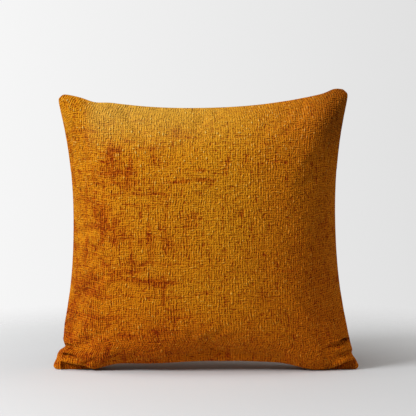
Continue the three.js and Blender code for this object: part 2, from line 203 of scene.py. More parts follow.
def ear_fold(x, z):
    """1 where the cloth is folded under at the ears, else 0, and the share of the lip above it."""
    under, lip = np.zeros_like(x), np.zeros_like(x)
    for route in EAR_FOLDS:
        distance, share = route_distance(x, z, route)
        inner, outer = (abs(point[0]) * MM for point in (route[-1], route[0]))
        beside = smooth(np.abs(x), inner - 3 * MM, inner + 5 * MM)
        beside = beside * (1 - smooth(np.abs(x), outer - 1 * MM, outer + 2 * MM))
        beside = beside * (np.sign(x) == np.sign(route[0][0]))
        under = np.maximum(under, (1 - smooth(distance, -1.5 * MM, 1.5 * MM)) * beside)
        lip = np.maximum(lip, hump(distance, 4.5 * MM, 3.5 * MM) * beside)
    return under, lip


ZIP_SLOT = 3.7 * MM              # half the space that the panels leave for the zip
ZIP_SLOT_ENDS = (0.762, 0.782)   # between these |u| that space closes
LUMPS = ((1.2 * MM, 75 * MM), (0.5 * MM, 30 * MM))   # height and width of the stuffing's lumps


def zip_slot(u, v):
    """How far a panel's edge stands off the seam plane, beside the zip."""
    return ZIP_SLOT * (1 - smooth(np.abs(u), *ZIP_SLOT_ENDS)) * ((1 - v) / 2) ** 10


def pillow_grid(u, v, side):
    """The smooth stuffed form: an array of points for arrays u and v."""
    x, z = plane_point(u, v)
    swell = HALF_DEPTH * np.maximum(0, (1 - u * u) * (1 - v * v)) ** FULLNESS
    z = np.maximum(z - bulge(u, v), FORM_CLEARANCE)
    return np.stack([x, side * swell, z], axis=-1)


def creased(points, u, v, side, seed):
    """The form with lumps from the stuffing, creases and flat ears, and the painted shade of its folds."""
    x, z = points[..., 0], points[..., 2]
    lumps = sum(high * soft_noise(x, z, wide, seed + k) for k, (high, wide) in enumerate(LUMPS))
    from_seam = smooth(1 - np.maximum(np.abs(u), np.abs(v)), 0.0, 0.03)
    depth, dark = crease_depth(x, z)
    under, lip = ear_fold(x, z)
    swell = side * points[..., 1] + (lumps - depth + FOLD_LIP * lip) * from_seam
    swell = mix(swell, np.minimum(swell, EAR_THICKNESS), under)
    folded = points.copy()
    folded[..., 1] = side * (np.maximum(swell, 0) + zip_slot(u, v))
    folded[..., 2] = np.maximum(folded[..., 2], 0)
    # The folded-under ears get painted shade as well.
    return folded, np.maximum(dark, 0.6 * under)


def cloth_grid(cells):
    """Grids of u and v that crowd towards the seam, where the cloth turns fastest."""
    lines = np.sin(np.pi / 2 * np.linspace(-1, 1, cells + 1))
    return np.meshgrid(lines, lines)


def grid_normals(points, side):
    """Outward unit normals of a grid of points indexed [row up, column across]."""
    along_u = np.gradient(points, axis=1)
    along_v = np.gradient(points, axis=0)
    normal = np.cross(along_u, along_v) * -side
    length = np.linalg.norm(normal, axis=-1, keepdims=True)
    return normal / np.maximum(length, 1e-12)


def cloth_coordinates(points):
    """How far along the cloth each grid point lies, as (across, up) in metres from its middle."""
    def along(axis):
        steps = np.linalg.norm(np.diff(points, axis=axis), axis=-1)
        total = np.cumsum(steps, axis=axis)
        start = np.zeros_like(np.take(total, [0], axis=axis))
        total = np.concatenate([start, total], axis=axis)
        share = total / np.maximum(np.take(total, [-1], axis=axis), 1e-9)
        return (share - 0.5) * CLOTH_SIDE

    return along(1), along(0)


def finer(points, times):
    """The grid with each cell cut into times by times cells, along smooth cubic curves."""
    for _ in range(2):
        padded = np.concatenate([2 * points[:1] - points[1:2], points, 2 * points[-1:] - points[-2:-1]])
        p0, p1, p2, p3 = padded[:-3], padded[1:-2], padded[2:-1], padded[3:]
        rows = []
        for k in range(times):
            t = k / times
            cubic = 2 * p1 + (p2 - p0) * t + (2 * p0 - 5 * p1 + 4 * p2 - p3) * t ** 2
            rows.append((cubic + (3 * p1 - p0 - 3 * p2 + p3) * t ** 3) / 2)
        fine = np.stack(rows, axis=1).reshape(-1, *points.shape[1:])
        points = np.concatenate([fine, points[-1:]]).swapaxes(0, 1)
    return points


# ------------------------------------------------------------------ the inflated cloth

CLOTH_FRAMES = 20
CLOTH_REACH = 16 * MM      # how far the filling may move the cloth from the drawn form
START_SWELL = 0.92         # the share of the drawn form's depth that the cloth starts from
HELD_SWELL = 4 * MM        # beside the seam, cloth that stands off its plane by less is held
SLACK = 0.010              # extra cloth, as a share of its length, that puckers along the seam
HELD_STRIP = (-0.985, -0.94)   # between these v the cloth leaves its drawn form, above the zip


def grid_quads(index, flip):
    """Quads of a grid of vertex indices."""
    a, b, c, d = index[:-1, :-1], index[:-1, 1:], index[1:, 1:], index[1:, :-1]
    corners = (a, d, c, b) if flip else (a, b, c, d)
    return np.stack([corner.ravel() for corner in corners], axis=1).tolist()


def bag(front, back):
    """Two grids of points joined along their edges: the vertices, the faces and both grids' indices."""
    count = len(front)
    inside = np.zeros((count, count), bool)
    inside[1:-1, 1:-1] = True
    front_index = np.arange(count * count).reshape(count, count)
    back_index = front_index.copy()
    back_index[inside] = count * count + np.arange(inside.sum())
    vertices = np.concatenate([front.reshape(-1, 3), back[inside]])
    faces = grid_quads(front_index, False) + grid_quads(back_index, True)
    return vertices, faces, (front_index, back_index)


def inflated(forms):
    """Both panels, blown up as cloth that is sewn together and held along the seam."""
    start = [form * (1, START_SWELL, 1) for form in forms]
    vertices, faces, indices = bag(*start)
    mesh = bpy.data.meshes.new("inflating")
    mesh.from_pydata(vertices.tolist(), [], faces)
    cloth = bpy.data.objects.new("inflating", mesh)
    bpy.context.scene.collection.objects.link(cloth)
    held = cloth.vertex_groups.new(name="seam")
    thin = np.abs(start[0][..., 1]) < HELD_SWELL
    held.add(np.unique([index[thin] for index in indices]).tolist(), 1.0, "REPLACE")

    modifier = cloth.modifiers.new("cloth", "CLOTH")
    settings = modifier.settings
    settings.quality = 6
    settings.mass = 0.3
    settings.tension_stiffness = settings.compression_stiffness = 20
    settings.tension_damping = settings.compression_damping = 15
    settings.bending_stiffness = 0.2
    settings.air_damping = 3
    settings.use_pressure = True
    settings.uniform_pressure_force = 4
    settings.shrink_min = -SLACK
    settings.effector_weights.gravity = 0
    settings.vertex_group_mass = held.name
    modifier.collision_settings.use_collision = False
    for frame_number in range(1, CLOTH_FRAMES + 1):
        bpy.context.scene.frame_set(frame_number)
    shaped = cloth.evaluated_get(bpy.context.evaluated_depsgraph_get())
    places = np.empty(len(vertices) * 3, np.float32)
    shaped.data.vertices.foreach_get("co", places)
    places = places.reshape(-1, 3).astype(float)
    bpy.data.objects.remove(cloth)
    bpy.data.meshes.remove(mesh)
    bpy.context.scene.frame_set(1)

    result = []
    for form, index in zip(forms, indices):
        move = places[index] - form
        length = np.linalg.norm(move, axis=-1, keepdims=True)
        capped = move * CLOTH_REACH / np.maximum(length, CLOTH_REACH)
        result.append(form + capped)
    return result


# ------------------------------------------------------------------ the weave

WARP_PITCH = 4.0 * MM
WEFT_PITCH = 3.8 * MM
WEAVE_RELIEF = 1.8 * MM
WANDER = ((34, 1.6), (12, 0.9), (6, 0.8))   # size and shift in millimetres, from slubs and crushed pile
FIRST_YARN = 70                        # yarns are counted from outside the cloth, so never below 0
CROSSING = (12.9898, 78.233, 43.758)   # a repeatable random number for each crossing of two yarns
PLAIN_SHARE = 0.30                     # how far the yarns keep to a plain weave
WARP_RISE = (0.15, 0.85)               # a yarn's height where it goes under, and its gain on top
WEFT_RISE = (0.1, 0.8)


def weave_coordinates(across, up, seed):
    """Yarn counts across and up, with the wander of slubby yarn and crushed pile."""
    for cell, amount in WANDER:
        shift_across = soft_noise(across, up, cell * MM, seed)
        shift_up = soft_noise(across, up, cell * MM, seed + 1)
        across = across + amount * MM * shift_across
        up = up + amount * MM * shift_up
        seed += 2
    return across / WARP_PITCH + FIRST_YARN, up / WEFT_PITCH + FIRST_YARN


def warp_on_top(i, j):
    """How far the warp covers the weft where warp i crosses weft j, from 0 to 1."""
    chance = np.sin(i * CROSSING[0] + j * CROSSING[1]) * CROSSING[2]
    return mix(chance - np.floor(chance), (i + j) % 2, PLAIN_SHARE)


def weave_height(warp, weft):
    """Relief of the weave, from 0 in the pits to 1 on the yarns."""
    i, j = np.floor(warp), np.floor(weft)
    across, along = warp - i - 0.5, weft - j - 0.5
    k, h = np.floor(weft - 0.5), np.floor(warp - 0.5)
    warp_up = mix(warp_on_top(i, k), warp_on_top(i, k + 1), smooth(weft - 0.5 - k, 0, 1))
    weft_up = 1 - mix(warp_on_top(h, j), warp_on_top(h + 1, j), smooth(warp - 0.5 - h, 0, 1))
    warp_yarn = (1 - 4 * across ** 2) * (WARP_RISE[0] + WARP_RISE[1] * warp_up)
    weft_yarn = (1 - 4 * along ** 2) * (WEFT_RISE[0] + WEFT_RISE[1] * weft_up)
    return np.maximum(warp_yarn, weft_yarn)


# ------------------------------------------------------------------ meshes


def add_object(name, vertices, faces, material):
    """A smooth-shaded mesh object in the scene."""
    mesh = bpy.data.meshes.new(name)
    mesh.from_pydata([tuple(p) for p in vertices], [], faces)
    mesh.update()
    mesh.polygons.foreach_set("use_smooth", [True] * len(mesh.polygons))
    piece = bpy.data.objects.new(name, mesh)
    bpy.context.scene.collection.objects.link(piece)
    mesh.materials.append(material)
    return piece


def rim(index):
    """The indices round a grid's edge, anticlockwise as seen from the front."""
    return np.concatenate([index[0, :-1], index[:-1, -1], index[-1, :0:-1], index[:0:-1, 0]])


def shell(name, outer, inner, side, material):
    """A closed shell between two square grids of points. The outer may be several times finer."""
    outer_index = np.arange(outer[..., 0].size).reshape(outer.shape[:2])
    inner_index = outer_index.size + np.arange(inner[..., 0].size).reshape(inner.shape[:2])
    faces = grid_quads(outer_index, side == BACK) + grid_quads(inner_index, side == FRONT)
    fine, plain = rim(outer_index), rim(inner_index)
    times = len(fine) // len(plain)
    for k in range(len(plain)):
        strip = [int(fine[(times * k + m) % len(fine)]) for m in range(times, -1, -1)]
        face = [int(plain[k]), int(plain[(k + 1) % len(plain)])] + strip
        faces.append(face if side == FRONT else face[::-1])
    vertices = np.concatenate([outer.reshape(-1, 3), inner.reshape(-1, 3)])
    return add_object(name, vertices, faces, material)


PLANE_CLEARANCE = 0.1 * MM   # of a panel's inner face from the seam plane


def kept_inside(points, side, amount):
    """Points moved in from a panel's outer face, without crossing the seam plane or the floor."""
    inner = points - grid_normals(points, side) * amount
    inner[..., 1] = side * np.maximum(side * inner[..., 1], PLANE_CLEARANCE)
    inner[..., 2] = np.maximum(inner[..., 2], amount)
    return inner


# ------------------------------------------------------------------ cover

COVER_WALL = 1.6 * MM
RELIEF_FADE = 20   # the woven relief reaches its full depth a 20th of the way in from the seam


def cover_panel(name, node, side, form, dark, drawn_form, material, seed):
    """One chenille panel as a closed shell: a fine woven face, a rim and the lining face returned."""
    u, v = cloth_grid(len(form) - 1)
    warp, weft = weave_coordinates(*cloth_coordinates(drawn_form), seed)
    grows = np.minimum(1, RELIEF_FADE * (1 - np.maximum(np.abs(u), np.abs(v))))
    relief = WEAVE_RELIEF * (weave_height(warp, weft) - 0.5) * grows
    outer = form + grid_normals(form, side) * relief[..., None]
    outer[..., 1] = side * np.maximum(side * outer[..., 1], 0)
    outer[..., 2] = np.maximum(outer[..., 2], 0.0)
    lining = kept_inside(form[::FINER, ::FINER], side, COVER_WALL)
    piece = shell(name, outer, lining, side, material)

    # The weave attribute carries the warp and weft counts and the folds' painted shade.
    values = []
    for grid in (warp, weft, dark):
        values.append(np.concatenate([grid.ravel(), grid[::FINER, ::FINER].ravel()]))
    weave = np.stack(values, axis=1).astype(np.float32)
    attribute = piece.data.attributes.new("weave", "FLOAT_VECTOR", "POINT")
    attribute.data.foreach_set("vector", weave.ravel())
    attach(piece, "pillow")
    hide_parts(node)
    return lining


# ------------------------------------------------------------------ insert and filling

INSERT_CELLS = 96
INSERT_SCALE = 0.93        # of the cover's outline
INSERT_DEPTH = HALF_DEPTH - 3 * MM
INSERT_FULLNESS = 0.42
INSERT_WALL = 0.8 * MM
INSERT_ROOM = 1.5 * MM     # between the insert and the cover's lining
INSERT_OFFSET = 0.2 * MM   # of each panel from the seam plane
PUCKER_DEPTH = 2.5 * MM
PUCKER_WIDTH = 15 * MM
PUCKER_REACH = 0.12        # how far in from the seam the gathers run, in cloth coordinates
FILLING_SCALE = 0.915      # of the cover's outline
FILLING_ROOM = 5 * MM      # between the filling and the cover's lining
CLUMP_DEPTH = 7 * MM
RAY_START = 0.05 * MM      # off the seam plane


def inside_form(side, scale, room, lining):
    """A stuffed form at a scale of the outline, at least so much room inside the lining."""
    u, v = cloth_grid(INSERT_CELLS)
    x, z = plane_point(scale * u, scale * v)
    swell = INSERT_DEPTH * np.maximum(0, (1 - u * u) * (1 - v * v)) ** INSERT_FULLNESS
    for index in np.ndindex(swell.shape):
        start = Vector((x[index], side * RAY_START, z[index]))
        distance = lining.ray_cast(start, Vector((0, side, 0)))[3]
        swell[index] = min(swell[index], max(0, (distance or 0) - room))
    return np.stack([x, side * swell, z], axis=-1), u, v


def puckered(form, u, v, side, seed):
    """The form with small gathers that run in from its seam."""
    x, z = form[..., 0], form[..., 2]
    from_side, from_end = 1 - np.abs(u), 1 - np.abs(v)
    gather = soft_noise(z, 0 * z, PUCKER_WIDTH, seed) * np.exp(-from_side / PUCKER_REACH)
    gather = gather + soft_noise(x, 0 * x, PUCKER_WIDTH, seed + 1) * np.exp(-from_end / PUCKER_REACH)
    starts = smooth(np.minimum(from_side, from_end), 0, 0.02)
    dent = PUCKER_DEPTH * (1 + np.clip(gather, -1, 1)) / 2 * starts
    puckers = form.copy()
    puckers[..., 1] = side * np.maximum(side * form[..., 1] - dent, 0)
    return puckers


def insert_panel(name, node, side, lining, material, seed):
    """One ticking panel of the insert, as a closed shell."""
    form, u, v = inside_form(side, INSERT_SCALE, INSERT_ROOM, lining)
    form[..., 1] += side * INSERT_OFFSET
    form = puckered(form, u, v, side, seed)
    piece = shell(name, form, kept_inside(form, side, INSERT_WALL), side, material)
    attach(piece, "pillow")
    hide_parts(node)


def filling(linings, material):
    """Loose clumps of fibre that fill the insert."""
    forms = []
    for side, seed in ((FRONT, 51), (BACK, 53)):
        form, u, v = inside_form(side, FILLING_SCALE, FILLING_ROOM, linings[side])
        x, z = form[..., 0], form[..., 2]
        clumps = np.abs(soft_noise(x, z, 34 * MM, seed)) + 0.5 * np.abs(soft_noise(x, z, 15 * MM, seed + 1))
        fades = smooth(np.minimum(1 - np.abs(u), 1 - np.abs(v)), 0, 0.05)
        form[..., 1] -= side * np.minimum(CLUMP_DEPTH * clumps * fades, np.abs(form[..., 1]))
        forms.append(form)
    vertices, faces, _ = bag(*forms)
    piece = add_object("fibre_filling", vertices, faces, material)
    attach(piece, "pillow")
    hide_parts("insert_filling")


# ------------------------------------------------------------------ threads and coils

# Where the rows of a seam run, as shares of the outline's size.
STITCH_SHARE = 0.9895
RAW_EDGE_SHARE = 0.984
OVERLOCK_HEEL_SHARE = 0.954
INSERT_STITCH_SHARE = 0.942
INSERT_BOTTOM_SHARE = 0.922      # further in, clear of the zip slider
OVERLOCK_HALF = 0.8 * MM         # half an overlocked edge's thickness
RAW_EDGE_STEP = 6 * MM
THREAD_CLEARANCE = 1.5 * MM      # of a thread from the floor
TUBE_TIP = 0.35                  # a tube's end, as a share of its radius
COIL_WIRE = 0.24 * MM            # radius
COIL_PITCH = 1.5 * MM


def tube(path, radius, sides=6):
    """Vertices and faces of a round tube along a path of points, with its ends drawn in."""
    path = np.asarray(path, float)
    along = np.gradient(path, axis=0)
    along /= np.maximum(np.linalg.norm(along, axis=1, keepdims=True), 1e-12)
    helper = np.where(np.abs(along[:, 1:2]) < 0.8, [[0.0, 1.0, 0.0]], [[1.0, 0.0, 0.0]])
    first = np.cross(along, helper)
    first /= np.linalg.norm(first, axis=1, keepdims=True)
    second = np.cross(along, first)
    radii = np.full(len(path), radius)
    radii[[0, -1]] *= TUBE_TIP
    angles = np.arange(sides) * 2 * np.pi / sides
    ring = first[:, None] * np.cos(angles)[:, None] + second[:, None] * np.sin(angles)[:, None]
    vertices = (path[:, None] + ring * radii[:, None, None]).reshape(-1, 3)
    faces = []
    for i in range(len(path) - 1):
        for k in range(sides):
            a, b = i * sides + k, i * sides + (k + 1) % sides
            faces.append([a, b, b + sides, a + sides])
    faces.append(list(range(sides))[::-1])
    faces.append([(len(path) - 1) * sides + k for k in range(sides)])
    return vertices, faces


def bundle(name, tubes, material, node):
    """Several tubes as one piece that stands for a CAD node."""
    vertices, faces, first = [], [], 0
    for points, quads in tubes:
        vertices.append(points)
        faces += [[first + k for k in quad] for quad in quads]
        first += len(points)
    piece = add_object(name, np.concatenate(vertices), faces, material)
    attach(piece, "pillow")
    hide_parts(node)


def walk(line, spacing):
    """Points a spacing apart along a line, which is a function of shares from 0 to 1."""
    samples = 400
    x, z = line(np.linspace(0, 1, samples))
    length = np.concatenate([[0], np.cumsum(np.hypot(np.diff(x), np.diff(z)))])
    steps = np.arange(0, length[-1], spacing)
    z = np.maximum(np.interp(steps, length, z), THREAD_CLEARANCE)
    return np.stack([np.interp(steps, length, x), 0 * steps, z], axis=1)


def stitch_row(line, pitch, radius, bow):
    """Lockstitches along a line: short threads that rise out of the cloth and dive back in."""
    points = walk(line, pitch)
    shares = np.linspace(0.06, 0.94, 5)[:, None]
    tubes = []
    for start, end in zip(points[:-1], points[1:]):
        path = start + (end - start) * shares
        path[:, 1] += bow * np.sin(np.pi * shares[:, 0])
        tubes.append(tube(path, radius))
    return tubes


def wrapped_section(edge, heel, spacing, low, high):
    """Four points round a strip from edge to heel, between two depths, at each step along it."""
    edge_points, heel_points = walk(edge, spacing), walk(heel, spacing)
    count = min(len(edge_points), len(heel_points))
    places = ((edge_points, low), (edge_points, high), (heel_points, high), (heel_points, low))
    corners = [points[:count] + (0, y, 0) for points, y in places]
    return np.stack(corners, axis=1).reshape(-1, 3)


def overlock_row(edge, heel, pitch, radius):
    """A thread looped over and over the two cloth edges."""
    return [tube(wrapped_section(edge, heel, pitch, -OVERLOCK_HALF, OVERLOCK_HALF), radius)]


def cloth_edges(edge, heel):
    """The two raw edges of the panels that a seam leaves inside."""
    strips = []
    for y in (-OVERLOCK_HALF / 2, OVERLOCK_HALF / 2):
        thick = 0.35 * OVERLOCK_HALF
        vertices = wrapped_section(edge, heel, RAW_EDGE_STEP, y - thick, y + thick)
        count = len(vertices) // 4
        faces = []
        for i in range(count - 1):
            for k in range(4):
                a, b = 4 * i + k, 4 * i + (k + 1) % 4
                faces.append([a, b, b + 4, a + 4])
        faces.append([3, 2, 1, 0])
        faces.append([4 * (count - 1) + k for k in range(4)])
        strips.append((vertices, faces))
    return strips


def seam_line(name, share, reach):
    """A line that runs along one side of the outline at a share of its size."""
    def line(t):
        along = mix(reach[0], reach[1], t)
        if name in ("left", "right"):
            hand = -1 if name == "left" else 1
            return plane_point(hand * share + 0 * along, along)
        end = 1 if name == "top" else -1
        return plane_point(along, end * share + 0 * along)

    return line


def seams(thread, white_thread):
    """The stitches and overlocked edges of the cover, and the stitches of the insert."""
    reaches = {
        "left": (-0.8, 0.8), "right": (-0.8, 0.8), "top": (-0.8, 0.8),
        "bottom_left": (-0.93, -0.84), "bottom_right": (0.84, 0.93),
    }
    for name, reach in reaches.items():
        line = seam_line(name, STITCH_SHARE, reach)
        row = stitch_row(line, pitch=3.0 * MM, radius=0.35 * MM, bow=0.3 * MM)
        bundle(f"stitches_{name}", row, thread, f"seam_stitch_{name}")
        edge, heel = (seam_line(name, share, reach) for share in (RAW_EDGE_SHARE, OVERLOCK_HEEL_SHARE))
        wrapped = cloth_edges(edge, heel) + overlock_row(edge, heel, pitch=2.6 * MM, radius=0.28 * MM)
        bundle(f"overlock_{name}", wrapped, thread, f"seam_overlock_{name}")
    insert_reaches = dict(reaches, bottom_left=(-0.85, -0.28), bottom_right=(0.28, 0.85))
    for name, reach in insert_reaches.items():
        share = INSERT_BOTTOM_SHARE if "bottom" in name else INSERT_STITCH_SHARE
        row = stitch_row(seam_line(name, share, reach), pitch=2.6 * MM, radius=0.3 * MM, bow=0.25 * MM)
        bundle(f"insert_stitches_{name}", row, white_thread, f"insert_stitch_{name}")
    line = seam_line("bottom", INSERT_BOTTOM_SHARE, (-0.27, 0.27))
    closing = stitch_row(line, pitch=4.5 * MM, radius=0.35 * MM, bow=0.5 * MM)
    bundle("closing_stitches", closing, white_thread, "insert_closing_stitch")


def zip_coil(name, node, side, material):
    """One side of the zip: a wire wound into a flattened coil."""
    low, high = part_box(node)
    centre_y, centre_z = (low.y + high.y) / 2, (low.z + high.z) / 2
    wide, tall = (high.y - low.y) / 2 - COIL_WIRE, (high.z - low.z) / 2 - COIL_WIRE
    turns = int((high.x - low.x - 2 * COIL_WIRE) / COIL_PITCH)
    steps = 10
    angles = np.arange(turns * steps + 1) * 2 * np.pi / steps
    x = low.x + COIL_WIRE + angles / (2 * np.pi) * COIL_PITCH
    y = centre_y + side * wide * np.cos(angles)
    z = centre_z + tall * np.sin(angles)
    wire = tube(np.stack([x, y, z], axis=1), COIL_WIRE, sides=5)
    bundle(name, [wire], material, node)


# ------------------------------------------------------------------ material helpers


class Graph:
    """Short ways to add nodes to one material."""

    def __init__(self, name):
        self.material = bpy.data.materials.new(name)
        self.material.use_nodes = True
        self.nodes = self.material.node_tree.nodes
        self.links = self.material.node_tree.links
        self.shader = self.nodes["Principled BSDF"]

    def feed(self, socket, value):
        """Link a socket or set a plain value."""
        if isinstance(value, bpy.types.NodeSocket):
            self.links.new(value, socket)
        else:
            socket.default_value = value

    def math(self, operation, a, b=0.0):
        node = self.nodes.new("ShaderNodeMath")
        node.operation = operation
        self.feed(node.inputs[0], a)
        self.feed(node.inputs[1], b)
        return node.outputs[0]

    def mul(self, a, b):
        return self.math("MULTIPLY", a, b)

    def add(self, a, b):
        return self.math("ADD", a, b)

    def sub(self, a, b):
        return self.math("SUBTRACT", a, b)

    def wave(self, value, length):
        """A sine wave along the value, from -1 to 1."""
        return self.math("SINE", self.mul(value, 2 * math.pi / length))

    def as_share(self, wave):
        """A wave from -1 to 1, moved to run from 0 to 1."""
        return self.mul(self.add(wave, 1.0), 0.5)

    def span(self, value, low, high, to_low=0.0, to_high=1.0):
        """A soft step as the value goes from low to high."""
        node = self.nodes.new("ShaderNodeMapRange")
        node.interpolation_type = "SMOOTHSTEP"
        for socket, x in zip(node.inputs, (value, low, high, to_low, to_high)):
            self.feed(socket, x)
        return node.outputs[0]

    def vector(self, x, y, z):
        node = self.nodes.new("ShaderNodeCombineXYZ")
        for socket, value in zip(node.inputs, (x, y, z)):
            self.feed(socket, value)
        return node.outputs[0]

    def parts(self, vector):
        """A vector's x, y and z."""
        node = self.nodes.new("ShaderNodeSeparateXYZ")
        self.links.new(vector, node.inputs[0])
        return tuple(node.outputs)

    def noise(self, vector, scale, detail=2.0, roughness=0.5):
        node = self.nodes.new("ShaderNodeTexNoise")
        self.feed(node.inputs["Vector"], vector)
        node.inputs["Scale"].default_value = scale
        node.inputs["Detail"].default_value = detail
        node.inputs["Roughness"].default_value = roughness
        return node.outputs["Fac"]

    def blend(self, share, a, b, blend_type="MIX"):
        """Colour a, turning into colour b by a share."""
        node = self.nodes.new("ShaderNodeMix")
        node.data_type = "RGBA"
        node.blend_type = blend_type
        self.feed(node.inputs[0], share)
        for socket, colour in ((node.inputs[6], a), (node.inputs[7], b)):
            self.feed(socket, colour if isinstance(colour, bpy.types.NodeSocket) else (*colour, 1))
        return node.outputs[2]

    def tint(self, share, colour, filter_colour):
        """The colour seen through a filter, by a share of it."""
        return self.blend(share, colour, filter_colour, "MULTIPLY")

    def surface(self, colour, roughness, sheen=0.0):
        self.feed(self.shader.inputs["Base Color"], colour)
        self.feed(self.shader.inputs["Roughness"], roughness)
        self.feed(self.shader.inputs["Sheen Weight"], sheen)

    def bump(self, height, distance, strength=1.0):
        node = self.nodes.new("ShaderNodeBump")
        node.inputs["Strength"].default_value = strength
        node.inputs["Distance"].default_value = distance
        self.feed(node.inputs["Height"], height)
        self.links.new(node.outputs["Normal"], self.shader.inputs["Normal"])

    def place(self):
        """Object coordinates, in metres."""
        return self.nodes.new("ShaderNodeTexCoord").outputs["Object"]


RED_GOLD, YELLOW_GOLD = (0.57, 0.165, 0.002), (0.64, 0.28, 0.008)
RUST = (0.48, 0.105, 0.001)
PIT, WORN_PIT = (0.23, 0.018, 0.0005), (0.17, 0.012, 0.0005)
TIP, TOP_HIGHLIGHT_TIP = (0.80, 0.44, 0.07), (0.88, 0.66, 0.22)
PAINTED_SHEEN_GOLD = (0.68, 0.50, 0.09)
SHEEN_GOLD = (1.0, 0.5, 0.04, 1)
PAINTED_SHADE_FILTER = (0.83, 0.52, 0.36)
CORNER_SHADE_FILTER = (0.6, 0.52, 0.4)
FOLD_SHADE_FILTER = (0.42, 0.24, 0.1)


def chenille_material(name):
    """Slubby plain weave of pile yarn: gold tips, brown pits, and rust where the pile is worn, under
    painted shade and highlights.
    """
    g = Graph(name)
    attribute = g.nodes.new("ShaderNodeAttribute")
    attribute.attribute_name = "weave"
    # The third part, folded, is the painted shade of the creases and the folded-under ears.
    warp, weft, folded = g.parts(attribute.outputs["Vector"])

    def warp_covers(i, j):
        """How far the warp covers the weft where warp i crosses weft j."""
        angle = g.add(g.mul(i, CROSSING[0]), g.mul(j, CROSSING[1]))
        chance = g.math("FRACT", g.mul(g.math("SINE", angle), CROSSING[2]))
        plain = g.math("PINGPONG", g.add(i, j), 1.0)
        return g.add(g.mul(chance, 1 - PLAIN_SHARE), g.mul(plain, PLAIN_SHARE))

    def yarn(count, other, is_warp, rises, seed):
        """Relief of one set of yarns: round, rising over and under, thick and thin along it."""
        index = g.math("FLOOR", count)
        offset = g.sub(g.sub(count, index), 0.5)
        section = g.sub(1.0, g.mul(g.mul(offset, offset), 4.0))
        before = g.math("FLOOR", g.sub(other, 0.5))
        after = g.add(before, 1.0)
        share = g.span(g.sub(g.sub(other, 0.5), before), 0.0, 1.0)
        if is_warp:
            first, second = warp_covers(index, before), warp_covers(index, after)
        else:
            first, second = (g.sub(1.0, warp_covers(k, index)) for k in (before, after))
        rise = g.add(first, g.mul(g.sub(second, first), share))
        slub = g.noise(g.vector(g.mul(index, 7.31), g.mul(other, 0.3), seed), 1.0)
        slub = g.span(slub, 0.3, 0.7, 0.6, 1.25)
        return g.mul(g.mul(section, g.add(rises[0], g.mul(rise, rises[1]))), slub)

    def open_gaps(count, other, seed):
        """Thin dark lines where two neighbouring yarns have parted."""
        index = g.math("ROUND", count)
        offset = g.math("ABSOLUTE", g.sub(count, index))
        parted = g.span(g.noise(g.vector(g.mul(index, 3.7), g.mul(other, 0.07), seed), 1.0), 0.56, 0.7)
        return g.mul(g.span(offset, 0.4, 0.1), parted)

    warp_yarn = yarn(warp, weft, True, WARP_RISE, 1.0)
    weft_yarn = yarn(weft, warp, False, WEFT_RISE, 5.0)
    height = g.math("MAXIMUM", warp_yarn, weft_yarn)
    place = g.place()
    tuft = g.noise(place, 240.0, 1.5, 0.5)
    fuzz = g.noise(place, 900.0, 2.0, 0.6)
    gaps = g.math("MAXIMUM", open_gaps(warp, weft, 2.0), g.mul(open_gaps(weft, warp, 8.0), 0.5))
    height = g.add(g.mul(height, 0.6), g.mul(tuft, 0.75))
    height = g.sub(height, g.mul(gaps, 0.15))

    # Where the cloth is worn to rust. The places in x and z are in metres.
    x, _, z = g.parts(place)
    left = g.span(x, 0.04, -0.17)
    patches = g.noise(place, 24.0, 3.0, 0.6)
    upright = g.noise(g.vector(g.mul(warp, 0.3), g.mul(weft, 0.035), 4.0), 1.0, 2.0, 0.6)
    level = g.noise(g.vector(g.mul(warp, 0.035), g.mul(weft, 0.3), 6.0), 1.0, 2.0, 0.6)
    streaks = g.math("MAXIMUM", upright, level)
    top = g.span(z, 0.36, 0.45)
    worn = g.add(g.add(g.mul(patches, 0.42), g.mul(streaks, 0.58)), g.mul(g.sub(left, top), 0.10))
    worn = g.span(worn, 0.56, 0.72)

    # The yarns, yellower to the right, and yellower upwards as painted light with redder painted shade low
    # down, over the brown pits between them.
    # Painted light: the yarns turn yellower upwards and redder low down, where shade falls.
    painted_light_upward = g.span(z, 0.02, 0.42)
    yellow = g.mul(g.sub(painted_light_upward, g.mul(left, 0.35)), 0.55)
    yellow = g.add(g.mul(g.noise(place, 14.0, 3.0), 0.6), yellow)
    gold = g.blend(yellow, RED_GOLD, YELLOW_GOLD)
    yarn_colour = g.blend(g.mul(worn, 0.9), gold, RUST)
    # Darker in the pits by relief height: partly the ground yarn's own colour, partly painted shade.
    ground = g.blend(worn, PIT, WORN_PIT)
    depth = g.span(height, g.add(0.28, g.mul(worn, 0.12)), g.add(0.74, g.mul(worn, 0.12)))
    colour = g.blend(depth, ground, yarn_colour)
    # Paler on the yarn tops: partly the pile's own colour, partly painted highlight.
    tip = g.mul(g.span(height, 0.8, 1.1), g.sub(0.7, g.mul(worn, 0.45)))
    # Painted highlight: the tips turn paler towards the top, where the light falls from above.
    painted_top_highlight = g.span(z, 0.26, 0.44)
    colour = g.blend(tip, colour, g.blend(painted_top_highlight, TIP, TOP_HIGHLIGHT_TIP))

    # Painted light: a pale painted sheen along the top, and painted shade on the right, low down, in the
    # top-right corner and in the folds.
    # Painted sheen: a pale gold band along the top edge.
    painted_top_sheen = g.mul(g.span(z, 0.35, 0.44), g.span(x, 0.14, -0.16, 0.05, 0.35))
    painted_top_sheen = g.mul(painted_top_sheen, g.span(x, -0.21, -0.175))
    colour = g.blend(painted_top_sheen, colour, PAINTED_SHEEN_GOLD)
    # Painted shade: darker and redder on the right and low down, away from the key lamp.
    low_shade = g.mul(g.span(z, 0.13, 0.035), g.span(x, -0.24, -0.08, 0.35, 1.0))
    painted_shade = g.math("MAXIMUM", g.span(x, 0.01, 0.19), low_shade)
    colour = g.tint(g.mul(painted_shade, 0.8), colour, PAINTED_SHADE_FILTER)
